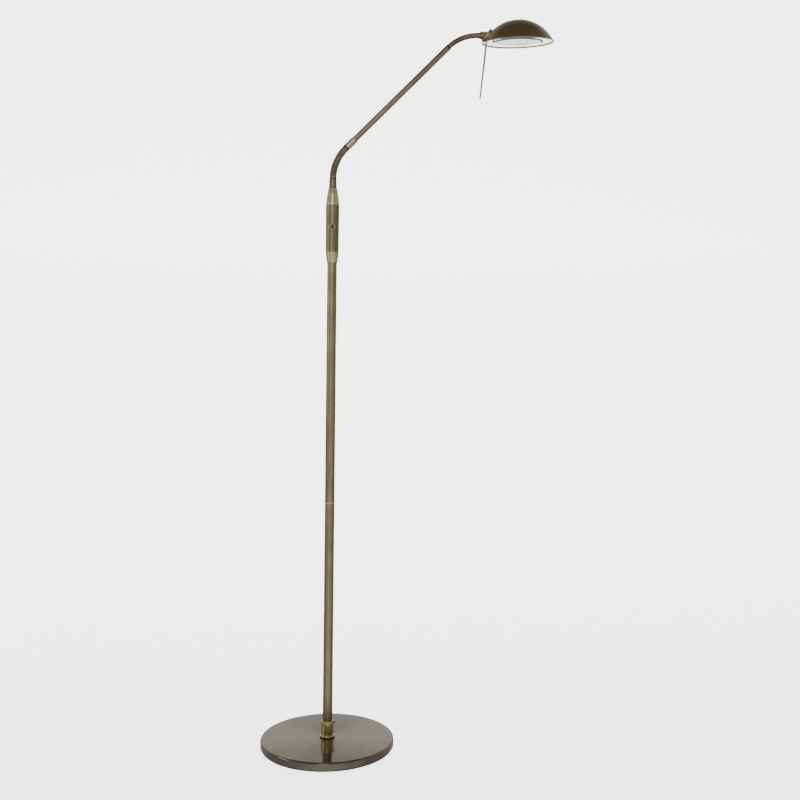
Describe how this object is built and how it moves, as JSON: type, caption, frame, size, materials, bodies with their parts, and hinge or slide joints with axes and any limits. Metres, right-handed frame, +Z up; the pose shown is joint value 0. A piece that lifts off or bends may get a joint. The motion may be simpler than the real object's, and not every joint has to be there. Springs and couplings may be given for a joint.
{
  "type": "floor lamp",
  "caption": "Reading floor lamp with a weighted round base, a dimmer handle, flexible necks above and below a straight arm, and a domed head with a steering rod.",
  "frame": {"origin": "on the floor, under the middle of the pole", "axes": "+Z up along the pole; the arm and head reach towards +X; the dimmer button faces -Y; the flex leaves towards +Y"},
  "size_m": [0.5517, 0.252, 1.3946],
  "materials": {
    "spun_base": "spun and lacquered, satin, grey brown",
    "antique_brass": "brushed along its length, darkened olive brown",
    "collar_brass": "turned, semi-bright yellow brown",
    "polished_brass": "polished, pale gold",
    "gooseneck_brass": "wound strip, darkened olive brown",
    "aged_bronze": "spun, satin, dark bronze brown",
    "plain_steel": "zinc plated",
    "dark_metal": "blackened",
    "cast_iron": "as cast, black varnish",
    "felt": "pressed felt",
    "black_plastic": "moulded, fine matte",
    "button_plastic": "moulded, semi-gloss grey brown",
    "cable_sheath": "soft pvc sheath",
    "reflector_sheet": "satin white anodised",
    "clear_glass": "clear flat glass",
    "frosted_glass": "frosted",
    "white_ceramic": "unglazed white"
  },
  "bodies": {
    "stand": {"base_cover": "spun_base", "base_weight": "cast_iron", "base_plate": "plain_steel", "base_pad": "felt", "plate_screws": "plain_steel", "cable_bush": "black_plastic", "inner_flex": "cable_sheath", "stem_nipple": "plain_steel", "stem_washer": "plain_steel", "stem_nut": "plain_steel", "collar": "collar_brass", "foot_ring": "collar_brass", "collar_screw": "dark_metal", "stem_plug": "plain_steel", "lower_tube": "antique_brass", "pole_coupler": "plain_steel", "joint_ring": "polished_brass", "upper_tube": "antique_brass", "lower_cone": "polished_brass", "handle_body": "antique_brass", "upper_cone": "polished_brass", "neck_ring": "polished_brass", "dimmer_module": "black_plastic", "dimmer_bezel": "antique_brass"},
    "button": {"dimmer_button": "button_plastic"},
    "neck": {"neck_fitting": "antique_brass", "neck_washer": "plain_steel", "neck_nut": "plain_steel"},
    "lower_link_1": {"lower_link_1": "gooseneck_brass"},
    "lower_link_2": {"lower_link_2": "gooseneck_brass"},
    "lower_link_3": {"lower_link_3": "gooseneck_brass"},
    "lower_link_4": {"lower_link_4": "gooseneck_brass"},
    "lower_link_5": {"lower_link_5": "gooseneck_brass"},
    "arm": {"arm_sleeve": "polished_brass", "arm_tube": "antique_brass", "arm_tip": "dark_metal"},
    "upper_link_1": {"upper_link_1": "gooseneck_brass"},
    "upper_link_2": {"upper_link_2": "gooseneck_brass"},
    "upper_link_3": {"upper_link_3": "gooseneck_brass"},
    "upper_link_4": {"upper_link_4": "gooseneck_brass"},
    "upper_link_5": {"upper_link_5": "gooseneck_brass"},
    "ferrule": {"head_ferrule": "antique_brass", "head_washer": "plain_steel", "head_nut": "plain_steel"},
    "head": {"shade": "aged_bronze", "head_boss": "antique_brass", "boss_screw": "dark_metal", "inner_boss": "plain_steel", "rod_bracket": "plain_steel", "handle_rod": "polished_brass", "reflector": "reflector_sheet", "reflector_post": "plain_steel", "lamp_holder": "white_ceramic", "lamp_capsule": "frosted_glass", "cover_glass": "clear_glass", "glass_washers": "plain_steel", "glass_screws": "dark_metal"}
  },
  "joints": [
    {"name": "neck_turn", "type": "hinge", "parent": "stand", "child": "neck", "pos_m": [0, 0, 1.0528], "axis": [0, 0, 1], "range_deg": [-170, 170]},
    {"name": "lower_bend_1", "type": "hinge", "parent": "neck", "child": "lower_link_1", "pos_m": [0, 0, 1.07758], "axis": [0, 1, 0], "range_deg": [-21.33, 6.67]},
    {"name": "lower_bend_2", "type": "hinge", "parent": "lower_link_1", "child": "lower_link_2", "pos_m": [0.00142, 0, 1.08863], "axis": [0, 1, 0], "range_deg": [-21.33, 6.67]},
    {"name": "lower_bend_3", "type": "hinge", "parent": "lower_link_2", "child": "lower_link_3", "pos_m": [0.00425, 0, 1.09942], "axis": [0, 1, 0], "range_deg": [-21.33, 6.67]},
    {"name": "lower_bend_4", "type": "hinge", "parent": "lower_link_3", "child": "lower_link_4", "pos_m": [0.00842, 0, 1.10976], "axis": [0, 1, 0], "range_deg": [-21.33, 6.67]},
    {"name": "lower_bend_5", "type": "hinge", "parent": "lower_link_4", "child": "lower_link_5", "pos_m": [0.01389, 0, 1.11948], "axis": [0, 1, 0], "range_deg": [-21.33, 6.67]},
    {"name": "lower_bend_6", "type": "hinge", "parent": "lower_link_5", "child": "arm", "pos_m": [0.02054, 0, 1.12842], "axis": [0, 1, 0], "range_deg": [-21.33, 6.67]},
    {"name": "upper_bend_1", "type": "hinge", "parent": "arm", "child": "upper_link_1", "pos_m": [0.22426, 0, 1.33938], "axis": [0, 1, 0], "range_deg": [-21.23, 6.77]},
    {"name": "upper_bend_2", "type": "hinge", "parent": "upper_link_1", "child": "upper_link_2", "pos_m": [0.23234, 0, 1.34587], "axis": [0, 1, 0], "range_deg": [-21.23, 6.77]},
    {"name": "upper_bend_3", "type": "hinge", "parent": "upper_link_2", "child": "upper_link_3", "pos_m": [0.24118, 0, 1.35129], "axis": [0, 1, 0], "range_deg": [-21.23, 6.77]},
    {"name": "upper_bend_4", "type": "hinge", "parent": "upper_link_3", "child": "upper_link_4", "pos_m": [0.25062, 0, 1.35555], "axis": [0, 1, 0], "range_deg": [-21.23, 6.77]},
    {"name": "upper_bend_5", "type": "hinge", "parent": "upper_link_4", "child": "upper_link_5", "pos_m": [0.26053, 0, 1.3586], "axis": [0, 1, 0], "range_deg": [-21.23, 6.77]},
    {"name": "upper_bend_6", "type": "hinge", "parent": "upper_link_5", "child": "ferrule", "pos_m": [0.27075, 0, 1.36037], "axis": [0, 1, 0], "range_deg": [-21.23, 6.77]},
    {"name": "head_turn", "type": "hinge", "parent": "ferrule", "child": "head", "pos_m": [0.27592, 0, 1.3606], "axis": [0.999, 0, 0.0454], "range_deg": [-105.2, 74.8]},
    {"name": "button_press", "type": "slide", "parent": "stand", "child": "button", "axis": [0, 1, 0], "range_m": [0, 0.0012], "stiffness_N_per_m": 1500, "springref_m": -0.0004}
  ],
  "couplings": [
    {"joint": "upper_bend_2", "follows": "upper_bend_1", "ratio": 1},
    {"joint": "upper_bend_3", "follows": "upper_bend_1", "ratio": 1},
    {"joint": "upper_bend_4", "follows": "upper_bend_1", "ratio": 1},
    {"joint": "upper_bend_5", "follows": "upper_bend_1", "ratio": 1},
    {"joint": "upper_bend_6", "follows": "upper_bend_1", "ratio": 1}
  ]
}
